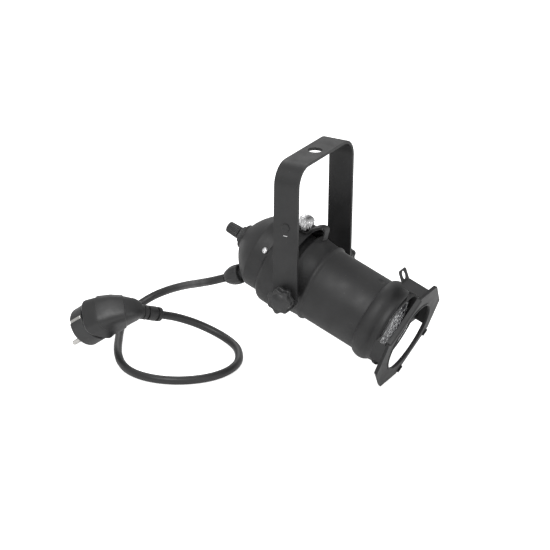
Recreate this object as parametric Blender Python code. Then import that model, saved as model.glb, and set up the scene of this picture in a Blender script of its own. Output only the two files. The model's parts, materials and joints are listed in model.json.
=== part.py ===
"""Par can light: a small black spot lantern hung from a flat steel yoke.

The lantern's rear housing, tube, front ring and colour-frame holder are turned and pressed
sheet pieces on one barrel axis. Two star knobs clamp the barrel in the yoke, a push-pull
focus rod carries the lampholder and the lamp, and a short mains lead leaves through a gland.

Frame: metres, +Z up. The origin is the centre of the yoke's hanging hole, on the top face of
the yoke. The barrel points towards -Y and dips below the horizontal.

Numbers below are in millimetres and degrees. The helpers turn them into metres. Pieces of the
barrel are written in the barrel's own frame: x across, v up, s forward along the barrel axis,
counted from the pivot between the star knobs.
"""

import math

import bmesh
import bpy
from mathutils import Matrix, Vector

MM = 0.001
GAP = 0.3                       # clearance left between neighbouring pieces

# Yoke
BAR_WIDTH = 25.0
BAR_THICKNESS = 3.0
YOKE_WIDTH = 110.0              # over the outer faces of the arms
YOKE_BEND_RADIUS = 20.0         # outer radius of the two bends
PIVOT_DROP = 128.2              # from the yoke's top face down to the pivot axis
HANGING_HOLE_RADIUS = 6.9
PLUG_HOLE_HEIGHT = 69.5         # second hole of the left arm, above the pivot

# Barrel attitude and main radii
NOSE_DOWN = 20.13
TUBE_RADIUS = 36.4
NECK_RADIUS = 38.0
DRUM_RADIUS = 44.0
CAP_RADIUS = 38.0
WALL = 1.0

# Pivot hardware
STUD_RADIUS = 3.9
STUD_HOLE_RADIUS = 4.3
ARM_INSIDE = YOKE_WIDTH / 2 - BAR_THICKNESS
ARM_OUTSIDE = YOKE_WIDTH / 2

# Rear cap
CAP_SCREW_STATION = -42.6
CAP_SCREW_ANGLES = (150.0, 30.0, 270.0)
ROD_RADIUS = 2.5
BOSS_FACE = -80.0

# Thumbscrew and safety loop, in one plane through the barrel axis
LOOP_ANGLE = 97.0
THUMB_STATION = -24.0
LOOP_LEAN = 16.0                # how far the strap leans over on its way to the neck

# Colour-frame holder: p runs along the frame's sliding direction, q across it
OPENING_RADIUS = 34.2
HOLDER_CORNER = 49.5            # flats across the cut corners, from the axis
HOLDER_HALF_P = 50.0
HOLDER_HALF_Q = 44.5
FRAME_HALF_P = 50.5
FRAME_HALF_Q = 42.7
SHEET = 1.0

# Mains lead and plug
CORD_RADIUS = 4.0
FLOOR = -213.4                  # the plane on which the lead and the plug lie
ON_FLOOR = FLOOR + CORD_RADIUS
GLAND_TIP = Vector((-15.0, 86.7, -141.2))
GLAND_DIRECTION = Vector((-0.10, 0.905, -0.40)).normalized()
GLAND_LENGTH = 20.0
CORD_ROUTE = (
    (-15.0, 86.9, -141.4), (-14.1, 102.6, -148.5), (-7.3, 117.1, -155.9), (1.3, 130.6, -163.3),
    (9.7, 144.3, -170.6), (16.5, 158.7, -178.3), (19.0, 174.1, -186.3), (13.9, 188.7, -194.4),
    (1.6, 198.5, -202.1), (-14.8, 200.7, -207.4), (-31.7, 196.0, ON_FLOOR + 0.3),
    (-47.5, 188.2, ON_FLOOR), (-62.8, 179.5, ON_FLOOR), (-78.0, 170.5, ON_FLOOR),
    (-92.5, 160.4, ON_FLOOR), (-105.8, 148.2, ON_FLOOR), (-115.9, 133.4, ON_FLOOR),
    (-120.2, 116.0, ON_FLOOR), (-118.4, 98.0, ON_FLOOR), (-111.5, 81.3, ON_FLOOR),
    (-100.3, 67.2, ON_FLOOR), (-85.8, 56.8, ON_FLOOR), (-68.7, 51.6, ON_FLOOR),
    (-50.8, 52.7, ON_FLOOR), (-34.5, 60.2, ON_FLOOR), (-20.8, 71.8, -208.6),
    (-13.6, 87.9, -205.9), (-13.7, 105.0, -200.8), (-20.1, 120.4, -194.1),
    (-31.6, 132.3, -187.1), (-41.2, 138.6, -182.8), (-46.3, 141.6, -180.7),
)
PLUG_FACE = Vector((-87.3, 202.2, -191.8))
PIN_DIRECTION = Vector((0.0, 0.79, -0.61)).normalized()
PLUG_LEAD_SIDE = Vector((0.822, -0.346, -0.448)).normalized()
RELIEF_START = (-50.6, 25.2)    # along the pins' axis and across it, from the plug's face
RELIEF_TURN = 80.0              # between the grip's rear direction and the lead
RELIEF_LENGTH = 24.6

# Focus
FOCUS_KNOB_REAR = -98.5
LAMP_RIM = 86.5


def clear_scene():
    for old_object in list(bpy.data.objects):
        bpy.data.objects.remove(old_object, do_unlink=True)


def make_material(name, colour, roughness, metallic=0.0):
    material = bpy.data.materials.new(name)
    material.use_nodes = True
    shader = material.node_tree.nodes["Principled BSDF"]
    shader.inputs["Base Color"].default_value = (*colour, 1.0)
    shader.inputs["Roughness"].default_value = roughness
    shader.inputs["Metallic"].default_value = metallic
    return material


def make_materials():
    return {
        "black_paint": make_material("black_paint", (0.045, 0.045, 0.047), 0.55),
        "black_plastic": make_material("black_plastic", (0.030, 0.030, 0.032), 0.42),
        "black_rubber": make_material("black_rubber", (0.035, 0.035, 0.038), 0.50),
        "bright_steel": make_material("bright_steel", (0.62, 0.62, 0.63), 0.28, 1.0),
        "nickel": make_material("nickel", (0.72, 0.71, 0.69), 0.20, 1.0),
        "brass": make_material("brass", (0.72, 0.55, 0.27), 0.30, 1.0),
        "white_ceramic": make_material("white_ceramic", (0.80, 0.78, 0.74), 0.40),
        "silvered_glass": make_material("silvered_glass", (0.80, 0.80, 0.82), 0.12, 1.0),
        "lens_glass": make_material("lens_glass", (0.86, 0.87, 0.88), 0.15),
        "lead_blue": make_material("lead_blue", (0.05, 0.12, 0.45), 0.45),
        "lead_brown": make_material("lead_brown", (0.22, 0.10, 0.04), 0.45),
        "lead_earth": make_material("lead_earth", (0.35, 0.48, 0.06), 0.45),
    }


def polar(radius, angle):
    return (radius * math.cos(math.radians(angle)), radius * math.sin(math.radians(angle)))


def facing(point, direction):
    """Placement whose +Z runs along direction, at a point given in millimetres."""
    turn = Vector(direction).to_track_quat("Z", "Y").to_matrix().to_4x4()
    return Matrix.Translation(Vector(point) * MM) @ turn


def radial(angle, station):
    """Placement on the barrel axis whose +Z points outwards at angle and +Y forward."""
    across, up = polar(1.0, angle)
    outwards = Vector((across, up, 0.0))
    forward = Vector((0.0, 0.0, 1.0))
    turn = Matrix((forward.cross(outwards), forward, outwards)).transposed().to_4x4()
    return Matrix.Translation((0.0, 0.0, station * MM)) @ turn


def new_shape(points, faces):
    """A closed mesh from points in millimetres and lists of corner numbers."""
    shape = bmesh.new()
    corners = [shape.verts.new(Vector(point) * MM) for point in points]
    for face in faces:
        shape.faces.new([corners[number] for number in face])
    bmesh.ops.recalc_face_normals(shape, faces=shape.faces)
    return shape


def lofted(sections):
    """A closed skin over sections of equally many points, capped at both ends."""
    count = len(sections[0])
    points = [point for section in sections for point in section]
    faces = []
    for level in range(len(sections) - 1):
        for corner in range(count):
            following = (corner + 1) % count
            low = level * count
            high = low + count
            faces.append((low + corner, low + following, high + following, high + corner))
    faces.append(tuple(range(count)))
    faces.append(tuple(range(len(points) - count, len(points))))
    return new_shape(points, faces)


def prism(outline, low, high):
    return lofted([[(x, y, z) for x, y in outline] for z in (low, high)])


def block(low, high):
    outline = ((low[0], low[1]), (high[0], low[1]), (high[0], high[1]), (low[0], high[1]))
    return prism(outline, low[2], high[2])


def turned(profile, segments=32):
    """A solid of revolution about Z from (station, radius) points."""
    shape = bmesh.new()
    corners = [shape.verts.new((radius * MM, 0.0, station * MM)) for station, radius in profile]
    edges = [shape.edges.new(pair) for pair in zip(corners, corners[1:])]
    if profile[0][1] > 0 or profile[-1][1] > 0:
        edges.append(shape.edges.new((corners[-1], corners[0])))
    bmesh.ops.spin(shape, geom=corners + edges, axis=(0, 0, 1), cent=(0, 0, 0),
                   steps=segments, angle=2 * math.pi)
    bmesh.ops.remove_doubles(shape, verts=shape.verts, dist=1e-6)
    bmesh.ops.recalc_face_normals(shape, faces=shape.faces)
    return shape


def ring(low, high, outer, inner, segments=24):
    return turned(((low, inner), (low, outer), (high, outer), (high, inner)), segments)


def rod(low, high, radius, segments=16, chamfer=0.3):
    profile = ((low, 0.0), (low, radius - chamfer), (low + chamfer, radius),
               (high - chamfer, radius), (high, radius - chamfer), (high, 0.0))
    return turned(profile, segments)


def regular(sides, radius):
    return [polar(radius, 360.0 * side / sides) for side in range(sides)]


def lobed(lobes, mean, depth, steps):
    """A closed outline whose radius swings in and out once for each lobe."""
    outline = []
    for step in range(lobes * steps):
        angle = 360.0 * step / (lobes * steps)
        outline.append(polar(mean + depth * math.cos(math.radians(lobes * angle)), angle))
    return outline


def scaled_stack(outline, levels):
    """Sections that repeat one outline at (station, scale) levels."""
    return lofted([[(x * scale, y * scale, z) for x, y in outline] for z, scale in levels])


def arc_points(start, end, sagitta, count):
    """Points on a shallow arc from start to end that bulges to the left by sagitta."""
    first = Vector(start)
    chord = Vector(end) - first
    left = Vector((-chord.y, chord.x)).normalized()
    points = []
    for step in range(count + 1):
        share = step / count
        bulge = 4 * sagitta * share * (1 - share)
        points.append(tuple(first + chord * share + left * bulge))
    return points


def add(name, shape, material, parent=None, place=None, sharp=32.0):
    mesh = bpy.data.meshes.new(name)
    shape.to_mesh(mesh)
    shape.free()
    piece = bpy.data.objects.new(name, mesh)
    bpy.context.collection.objects.link(piece)
    piece.parent = parent
    if place is not None:
        piece.matrix_local = place
    if material is not None:
        mesh.materials.append(material)
    mesh.shade_smooth()
    mesh.set_sharp_from_angle(angle=math.radians(sharp))
    return piece


def combine(target, operation, shape, place=None):
    """Cut a shape out of the target, or join it on, with a hidden helper object."""
    helper = add(target.name + "_helper", shape, None, target.parent, place)
    helper.hide_render = True
    helper.display_type = "WIRE"
    modifier = target.modifiers.new(operation.lower(), "BOOLEAN")
    modifier.operation = operation
    modifier.solver = "EXACT"
    modifier.object = helper


def smooth_route(route, spacing):
    """Evenly spaced points on a smooth curve through the route's points."""
    points = [Vector(point) for point in route]
    points = [2 * points[0] - points[1], *points, 2 * points[-1] - points[-2]]
    dense = []
    for number in range(1, len(points) - 2):
        before, start, end, after = points[number - 1:number + 3]
        for step in range(20):
            t = step / 20
            dense.append(0.5 * (2 * start + (end - before) * t
                                + (2 * before - 5 * start + 4 * end - after) * t ** 2
                                + (3 * start - before - 3 * end + after) * t ** 3))
    dense.append(points[-2])
    lengths = [0.0]
    for first, second in zip(dense, dense[1:]):
        lengths.append(lengths[-1] + (second - first).length)
    count = round(lengths[-1] / spacing)
    even = []
    number = 0
    for step in range(count + 1):
        target = lengths[-1] * step / count
        while number < len(dense) - 2 and lengths[number + 1] < target:
            number += 1
        share = (target - lengths[number]) / (lengths[number + 1] - lengths[number])
        even.append(dense[number].lerp(dense[number + 1], min(share, 1.0)))
    return even


def add_cable(name, points, radius, material, parent=None):
    """A round cable as a bevelled curve with closed ends."""
    curve = bpy.data.curves.new(name, "CURVE")
    curve.dimensions = "3D"
    curve.bevel_depth = radius * MM
    curve.bevel_resolution = 2
    curve.use_fill_caps = True
    spline = curve.splines.new("POLY")
    spline.points.add(len(points) - 1)
    for corner, point in zip(spline.points, points):
        corner.co = (*(Vector(point) * MM), 1.0)
    piece = bpy.data.objects.new(name, curve)
    bpy.context.collection.objects.link(piece)
    piece.parent = parent
    curve.materials.append(material)
    return piece


# ---------------------------------------------------------------- yoke and pivot

def yoke_stations():
    """(x, z, outward x, outward z, half width) along the bar, from one arm's end to the other."""
    half_width = BAR_WIDTH / 2
    arm = YOKE_WIDTH / 2
    centre = arm - YOKE_BEND_RADIUS
    left = []
    for angle in (84, 72, 60, 48, 36, 24, 12, 0):
        width, drop = polar(half_width, angle)
        left.append((-arm, -PIVOT_DROP - drop, -1.0, 0.0, width))
    for step in range(7):
        angle = 180.0 - 15.0 * step
        across, up = polar(1.0, angle)
        left.append((-centre + across * YOKE_BEND_RADIUS, (up - 1.0) * YOKE_BEND_RADIUS,
                     across, up, half_width))
    right = [(-x, z, -out_x, out_z, width) for x, z, out_x, out_z, width in reversed(left)]
    return left + right


def add_yoke(materials):
    sections = []
    for x, z, out_x, out_z, width in yoke_stations():
        inner_x = x - out_x * BAR_THICKNESS
        inner_z = z - out_z * BAR_THICKNESS
        sections.append([(x, -width, z), (x, width, z),
                         (inner_x, width, inner_z), (inner_x, -width, inner_z)])
    yoke = add("yoke", lofted(sections), materials["black_paint"])
    combine(yoke, "DIFFERENCE", rod(-10.0, 10.0, HANGING_HOLE_RADIUS, 32, 0.0),
            facing((0, 0, 0), (0, 0, 1)))
    combine(yoke, "DIFFERENCE", rod(-60.0, 60.0, STUD_HOLE_RADIUS, 24, 0.0),
            facing((0, 0, -PIVOT_DROP), (1, 0, 0)))
    combine(yoke, "DIFFERENCE", rod(-6.0, 6.0, 2.8, 16, 0.0),
            facing((-ARM_OUTSIDE, 0, PLUG_HOLE_HEIGHT - PIVOT_DROP), (1, 0, 0)))
    return yoke


def add_yoke_rivet(materials):
    """A flat-headed rivet that closes the spare hole of the left arm."""
    head = ((-ARM_INSIDE + 1.4, 0.0), (-ARM_INSIDE + 1.4, 3.4), (-ARM_INSIDE + GAP, 4.0),
            (-ARM_INSIDE + GAP, 2.5), (-ARM_OUTSIDE - GAP, 2.5), (-ARM_OUTSIDE - GAP, 4.1),
            (-ARM_OUTSIDE - 0.9, 3.8), (-ARM_OUTSIDE - 1.1, 2.6), (-ARM_OUTSIDE - 1.1, 0.0))
    add("yoke_rivet", turned(head, 24), materials["black_paint"],
        place=facing((0, 0, PLUG_HOLE_HEIGHT - PIVOT_DROP), (1, 0, 0)))


def add_washers(materials):
    """One washer on each arm's outer face, under the star knob."""
    for side, sign in (("left", -1.0), ("right", 1.0)):
        add("arm_washer_" + side, ring(GAP, 1.5, 8.5, STUD_HOLE_RADIUS, 28),
            materials["bright_steel"],
            place=facing((sign * ARM_OUTSIDE, 0, -PIVOT_DROP), (sign, 0, 0)))


def add_pivot_hardware(barrel, materials):
    """Spacer bush, captive nut, stud and star knob on each side of the neck."""
    knob_outline = lobed(7, 11.3, 1.0, 5)
    knob_levels = ((1.8, 0.60), (2.8, 0.97), (6.4, 1.0), (7.0, 0.88), (7.6, 0.88), (8.2, 1.0),
                   (11.8, 0.98), (13.4, 0.76), (14.9, 0.36), (15.2, 0.12))
    for side, sign in (("left", -1.0), ("right", 1.0)):
        outwards = facing((0, 0, 0), (sign, 0, 0))
        add("pivot_bush_" + side, ring(NECK_RADIUS + 1.2, ARM_INSIDE - GAP, 6.5,
                                       STUD_HOLE_RADIUS), materials["black_paint"], barrel, outwards)
        nut = add("pivot_nut_" + side, prism(regular(6, 7.5), 29.9, 35.8),
                  materials["bright_steel"], barrel, outwards)
        combine(nut, "DIFFERENCE", rod(25.0, 40.0, STUD_RADIUS + GAP, 20, 0.0), outwards)
        at_arm = facing((sign * ARM_OUTSIDE, 0, 0), (sign, 0, 0))
        add("knob_stud_" + side, rod(-26.0, 1.8 - GAP, STUD_RADIUS, 20),
            materials["bright_steel"], barrel, at_arm)
        add("star_knob_" + side, scaled_stack(knob_outline, knob_levels),
            materials["black_plastic"], barrel, at_arm)


# ---------------------------------------------------------------- barrel shells

def add_barrel_tube(barrel, materials):
    profile = (
        (85.0, TUBE_RADIUS), (12.8, TUBE_RADIUS), (11.6, 38.0), (9.2, 38.4), (6.2, 37.5),
        (-4.7, 38.4), (-9.4, 39.5), (-10.7, 39.3), (-10.7, 34.4), (-30.0, 34.4), (-30.0, 33.4),
        (-9.7, 33.4), (-9.7, 38.2), (6.4, 36.4), (12.2, 35.4), (85.0, 35.4),
    )
    tube = add("barrel_tube", turned(profile), materials["black_paint"], barrel)
    combine(tube, "DIFFERENCE", rod(-60.0, 60.0, STUD_HOLE_RADIUS, 24, 0.0),
            facing((0, 0, 0), (1, 0, 0)))


def add_front_ring(barrel, materials):
    profile = (
        (70.2, 36.8), (70.2, 37.9), (73.0, 39.6), (77.0, 40.4), (81.0, 40.0), (86.0, 37.4),
        (91.6, 36.9), (92.4, 38.0), (93.6, 38.1), (93.9, 36.3), (92.9, 36.0), (85.8, 36.0),
        (81.0, 38.9), (77.0, 39.3), (72.8, 36.8),
    )
    add("front_ring", turned(profile), materials["black_paint"], barrel)


def add_rear_drum(barrel, materials):
    neck = CAP_RADIUS - WALL - 0.4
    profile = (
        (-16.4, DRUM_RADIUS), (-31.5, 43.6), (-35.4, 42.6), (-38.0, 40.7), (-38.9, 38.4),
        (-38.9, neck), (-48.0, neck), (-48.0, neck - WALL), (-37.9, neck - WALL), (-37.5, 39.4),
        (-34.8, 41.6), (-31.2, 42.6), (-16.4, 43.0),
    )
    drum = add("rear_drum", turned(profile), materials["black_paint"], barrel)
    for angle in CAP_SCREW_ANGLES:
        combine(drum, "DIFFERENCE", rod(20.0, 37.5, 1.8, 12, 0.0), radial(angle, CAP_SCREW_STATION))
    combine(drum, "DIFFERENCE", rod(39.0, 50.0, 2.9, 16, 0.0), radial(LOOP_ANGLE, THUMB_STATION))


def add_baffle_ring(barrel, materials):
    """The plate inside the drum that carries the tube's rear end and the earth screw."""
    plate = add("baffle_ring", ring(-31.2, -29.9, 42.1, 34.8, 32), materials["black_paint"], barrel)
    across, up = polar(38.4, 240.0)
    combine(plate, "DIFFERENCE", rod(-40.0, -20.0, 1.9, 12, 0.0),
            Matrix.Translation((across * MM, up * MM, 0.0)))


def gland_frame():
    """Gland tip and direction in the barrel's frame."""
    to_barrel = barrel_placement().inverted()
    tip = to_barrel @ (GLAND_TIP * MM)
    direction = to_barrel.to_3x3() @ GLAND_DIRECTION
    return tip / MM, direction


def add_rear_cap(barrel, materials):
    outer = [(-39.3, CAP_RADIUS), (-53.4, CAP_RADIUS)]
    outer += arc_points((-54.6, 37.6), (-77.0, 12.4), -2.4, 7)
    outer += [(BOSS_FACE + 0.9, 12.2), (BOSS_FACE, 11.4), (BOSS_FACE, ROD_RADIUS + 0.6)]
    inner = [(-76.8, ROD_RADIUS + 0.6), (-75.6, 11.8)]
    inner += arc_points((-75.6, 12.6), (-54.4, 36.4), 2.4, 4)
    inner += [(-53.0, CAP_RADIUS - WALL), (-39.3, CAP_RADIUS - WALL)]
    cap = add("rear_cap", turned(outer + inner), materials["black_paint"], barrel)
    for angle in CAP_SCREW_ANGLES:
        combine(cap, "DIFFERENCE", rod(30.0, 45.0, 1.8, 12, 0.0), radial(angle, CAP_SCREW_STATION))
    tip, direction = gland_frame()
    combine(cap, "DIFFERENCE", rod(-32.0, -10.0, 6.2, 20, 0.0), facing(tip, direction))


def add_cap_screws(barrel, materials):
    profile = ((33.5, 0.0), (33.5, 1.3), (38.4, 1.3), (38.4, 3.2), (39.0, 3.3), (40.0, 2.4),
               (40.3, 0.0))
    for number, angle in enumerate(CAP_SCREW_ANGLES, start=1):
        add("cap_screw_%d" % number, turned(profile, 16), materials["bright_steel"], barrel,
            radial(angle, CAP_SCREW_STATION))


# ---------------------------------------------------------------- thumbscrew, safety loop

def add_thumbscrew(barrel, materials):
    place = radial(LOOP_ANGLE, THUMB_STATION)
    shank = ((35.2, 0.0), (35.2, 1.8), (35.8, 2.4), (46.3, 2.4), (46.3, 4.6), (50.3, 4.6),
             (50.3, 0.0))
    add("thumbscrew_shank", turned(shank, 20), materials["bright_steel"], barrel, place)
    levels = ((50.6, 0.90), (51.2, 1.0), (57.0, 1.0), (58.6, 0.74), (59.2, 0.20))
    add("thumbscrew_cap", scaled_stack(lobed(14, 7.0, 0.3, 3), levels),
        materials["bright_steel"], barrel, place)
    nut = add("thumbscrew_nut", prism(regular(6, 4.9), 38.0, 42.1), materials["bright_steel"],
              barrel, place)
    combine(nut, "DIFFERENCE", rod(30.0, 50.0, 2.7, 16, 0.0), place)


def leaning(point, share):
    """A point of the strap turned about the barrel axis by a share of the strap's lean."""
    cosine, sine = polar(1.0, LOOP_LEAN * min(max(share, 0.0), 1.0))
    x, y, z = point
    return (x * cosine - z * sine, y, x * sine + z * cosine)


def add_safety_loop(barrel, materials):
    """A bent strap from under the thumbscrew, over a safety wire's way, to the neck."""
    half_width = 5.0
    middle = ((-30.0, 45.3), (-19.0, 45.3), (-17.8, 46.6), (-16.2, 49.0), (-14.0, 51.2),
              (-11.2, 52.3), (-8.6, 51.8), (-6.8, 49.6), (-6.0, 46.0), (-5.6, 42.6), (-5.4, 39.4))
    sections = []
    for number, (station, radius) in enumerate(middle):
        before = Vector(middle[max(number - 1, 0)])
        after = Vector(middle[min(number + 1, len(middle) - 1)])
        along = (after - before).normalized()
        rise = Vector((-along.y, along.x)) * SHEET / 2
        top = (station - THUMB_STATION + rise.x, radius + rise.y)
        bottom = (station - THUMB_STATION - rise.x, radius - rise.y)
        share = (station + 19.0) / 13.0
        corners = ((-half_width, *top), (half_width, *top), (half_width, *bottom),
                   (-half_width, *bottom))
        sections.append([leaning(corner, share) for corner in corners])
    place = radial(LOOP_ANGLE, THUMB_STATION)
    loop = add("safety_loop", lofted(sections), materials["black_paint"], barrel, place)
    combine(loop, "DIFFERENCE", rod(40.0, 50.0, 2.9, 16, 0.0), place)


# ---------------------------------------------------------------- colour-frame holder

def cut_square(half_p, half_q, corner):
    """A rectangle set on its corner, its four corners cut square to the x and v axes."""
    reach = corner * math.sqrt(2.0)
    quarter = ((half_p, reach - half_p), (reach - half_q, half_q))
    in_pq = []
    for sign_p, sign_q, turn_back in ((1, 1, False), (-1, 1, True), (-1, -1, False), (1, -1, True)):
        corners = [(sign_p * p, sign_q * q) for p, q in quarter]
        in_pq += reversed(corners) if turn_back else corners
    return in_pq


def diagonal():
    """Placement that turns (p, q) into the barrel's x and v."""
    return Matrix.Rotation(math.radians(45.0), 4, "Z")


def sheet_with_opening(half_p, half_q, opening, low, high):
    """A cut square of sheet; the opening is cut by the caller."""
    shape = prism(cut_square(half_p, half_q, HOLDER_CORNER), low, high)
    return shape, rod(low - 5.0, high + 5.0, opening, 40, 0.0)


def add_filter_holder(barrel, materials):
    """One folded blank: back plate, four legs to the can, a long channel and two clips."""
    shape, opening = sheet_with_opening(HOLDER_HALF_P, HOLDER_HALF_Q, 36.5, 105.6, 106.6)
    holder = add("filter_holder", shape, materials["black_paint"], barrel, diagonal())
    combine(holder, "DIFFERENCE", opening, diagonal())
    combine(holder, "UNION", ring(94.4, 95.4, 38.4, 35.4, 32), diagonal())
    outside = HOLDER_CORNER - 0.1
    for angle, rear in ((90.0, 84.5), (180.0, 94.4), (270.0, 94.4), (0.0, 94.4)):
        turn = Matrix.Rotation(math.radians(angle), 4, "Z")
        combine(holder, "UNION", block((outside - SHEET, -9.5, rear), (outside, 9.5, 106.2)), turn)
        combine(holder, "UNION", block((37.4, -8.9, 94.5), (outside - 0.4, 8.9, 95.3)), turn)
    wall = HOLDER_HALF_Q - SHEET
    combine(holder, "UNION", block((-25.0, wall, 106.0), (25.0, HOLDER_HALF_Q, 110.4)), diagonal())
    combine(holder, "UNION", block((-24.6, 39.6, 109.4), (24.6, wall + 0.5, 110.3)), diagonal())
    for start in (-25.0, 18.0):
        end = start + 7.0
        combine(holder, "UNION",
                block((start, -HOLDER_HALF_Q, 106.0), (end, -wall, 110.4)), diagonal())
        combine(holder, "UNION",
                block((start + 0.2, -wall - 0.5, 109.4), (end - 0.2, -40.6, 110.3)), diagonal())


def add_safety_eyelet(barrel, materials):
    """The eye at the rear of the top leg that takes the colour frame's safety chain."""
    width = 7.2
    height = 11.0
    corner = 1.6
    outline = [(width, -1.0), (width, height - corner), (width - corner, height),
               (corner - width, height), (-width, height - corner), (-width, -1.0)]
    direction = Vector((0.0, -0.65, -0.76)).normalized()
    upwards = Vector((0.0, 0.76, -0.65)).normalized()
    turn = Matrix((upwards.cross(direction), upwards, direction)).transposed().to_4x4()
    place = Matrix.Translation(Vector((4.4, 48.4, 83.4)) * MM) @ turn
    eyelet = add("safety_eyelet", prism(outline, 0.0, SHEET), materials["black_paint"], barrel, place)
    hole = [(x * 3.0, y * 3.9 + 5.3) for x, y in regular(16, 1.0)]
    combine(eyelet, "DIFFERENCE", prism(hole, -2.0, 3.0), place)


def add_filter_frame(barrel, materials):
    shape, opening = sheet_with_opening(FRAME_HALF_P, FRAME_HALF_Q, OPENING_RADIUS, 106.9, 109.0)
    frame = add("filter_frame", shape, materials["black_paint"], barrel, diagonal())
    combine(frame, "DIFFERENCE", opening, diagonal())


# ---------------------------------------------------------------- lamp and focus

def add_lamp(barrel, materials):
    holder = ((-14.6, 0.0), (-14.6, 16.0), (-12.0, 18.0), (4.0, 18.0), (5.0, 19.0), (26.0, 19.0),
              (27.5, 17.6), (27.5, 14.4), (4.0, 14.4), (4.0, 0.0))
    add("lampholder", turned(holder, 28), materials["white_ceramic"], barrel)
    base = ((4.6, 0.0), (4.6, 5.0), (7.0, 9.0), (8.5, 12.9), (11.0, 13.4), (29.0, 13.4),
            (29.0, 0.0))
    add("lamp_base", turned(base, 24), materials["brass"], barrel)
    reflector = ((29.3, 0.0), (29.3, 14.0), (44.0, 16.6), (58.0, 21.5), (72.0, 30.2), (82.5, 32.2),
                 (LAMP_RIM, 32.2), (LAMP_RIM, 30.4), (82.2, 30.4), (72.6, 28.2), (58.6, 19.6),
                 (46.0, 15.0), (44.0, 0.0))
    add("lamp_reflector", turned(reflector, 28), materials["silvered_glass"], barrel)
    lens = [(LAMP_RIM + GAP, 0.0), (LAMP_RIM + GAP, 31.6), (LAMP_RIM + 1.5, 31.9)]
    lens += [(LAMP_RIM + 1.5 + 3.2 * (1 - (radius / 31.4) ** 2), radius) for radius in (31.4, 24.0, 16.0, 8.0, 0.0)]
    add("lamp_lens", turned(lens, 28), materials["lens_glass"], barrel)


def add_focus_parts(barrel, materials):
    """Push-pull focus: knob, rod and carriage move together; the hex nut clamps the rod."""
    add("lamp_carriage", ring(-17.0, -14.9, 18.5, 4.0, 32), materials["bright_steel"], barrel)
    add("focus_rod", rod(-84.6, -17.3, ROD_RADIUS, 16), materials["bright_steel"], barrel)
    nut = add("focus_nut", prism(regular(6, 8.3), BOSS_FACE - 4.3, BOSS_FACE - GAP),
              materials["black_plastic"], barrel)
    combine(nut, "DIFFERENCE", rod(-90.0, -75.0, ROD_RADIUS + 0.4, 16, 0.0), Matrix.Identity(4))
    rear = FOCUS_KNOB_REAR
    levels = ((-84.9, 0.90), (-85.5, 1.0), (rear + 1.0, 0.90), (rear, 0.70))
    add("focus_knob", scaled_stack(lobed(16, 5.8, 0.3, 3), levels), materials["black_plastic"],
        barrel)


# ---------------------------------------------------------------- wiring inside

def add_inner_wiring(barrel, materials):
    tip, direction = gland_frame()
    inner_end = tip - direction * (GLAND_LENGTH + 11.2)
    inwards = direction * -4.0
    for name, offset, finish in (("live_lead", -5.5, "lead_brown"), ("neutral_lead", 1.0, "lead_blue")):
        start = inner_end + Vector((offset * 0.4 + 1.4, 0.0, 0.0))
        route = (start, start + inwards, (offset, -21.8, -40.0), (offset, -22.2, -26.0),
                 (offset, -22.2, -12.0), (offset, -22.2, 0.0))
        add_cable(name, smooth_route(route, 5.0), 1.1, materials[finish], barrel)
    start = inner_end + Vector((-2.4, -1.7, 1.7))
    route = (start, start + inwards, (-15.5, -25.0, -42.0), (-17.2, -28.2, -33.6))
    add_cable("earth_lead", smooth_route(route, 4.0), 1.1, materials["lead_earth"], barrel)
    across, up = polar(38.4, 240.0)
    at_screw = Matrix.Translation((across * MM, up * MM, 0.0))
    screw = ((-34.9, 0.0), (-34.9, 2.2), (-34.3, 3.0), (-33.0, 3.0), (-33.0, 1.5), (-24.5, 1.5),
             (-24.5, 0.0))
    add("earth_screw", turned(screw, 16), materials["brass"], barrel, at_screw)
    add("earth_lug", ring(-32.6, -31.7, 3.6, 1.9, 20), materials["brass"], barrel, at_screw)
    nut = add("earth_nut", prism(regular(6, 3.6), -29.5, -26.9), materials["brass"], barrel, at_screw)
    combine(nut, "DIFFERENCE", rod(-35.0, -20.0, 1.8, 12, 0.0), at_screw)


# ---------------------------------------------------------------- mains lead and plug

def add_gland(barrel, materials):
    tip, direction = gland_frame()
    place = facing(tip, direction)
    base = -GLAND_LENGTH
    body = ((base - 10.4, 0.0), (base - 10.4, 5.6), (base + 2.2, 5.6), (base + 2.2, 8.8),
            (base + 3.4, 9.9), (base + 7.5, 10.1), (base + 11.5, 9.5), (base + 15.0, 8.0),
            (base + 18.0, 6.4), (base + 19.4, 5.3), (base + 19.7, 4.6), (base + 19.7, 0.0))
    add("cable_gland", turned(body, 12), materials["black_plastic"], barrel, place, sharp=20.0)
    nut = add("gland_locknut", prism(regular(6, 7.4), base - 10.0, base - 7.2),
              materials["black_plastic"], barrel, place)
    combine(nut, "DIFFERENCE", rod(base - 20.0, base + 5.0, 5.9, 20, 0.0), place)


def plug_placement():
    """Origin at the face's centre: +Z along the pins, +X to the lead's side."""
    across = PIN_DIRECTION.cross(PLUG_LEAD_SIDE)
    turn = Matrix((PLUG_LEAD_SIDE, across, PIN_DIRECTION)).transposed().to_4x4()
    return Matrix.Translation(PLUG_FACE * MM) @ turn


def grip_section(station, across, turn, half_width, half_height):
    """One rounded-square section of the grip, square to its bending centre line."""
    section = []
    for step in range(20):
        cosine, sine = polar(1.0, 18.0 * step)
        side = half_width * math.copysign(abs(cosine) ** 0.75, cosine)
        height = half_height * math.copysign(abs(sine) ** 0.75, sine)
        back, over = polar(side, turn)
        section.append((across + back, height, station + over))
    return section


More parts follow.
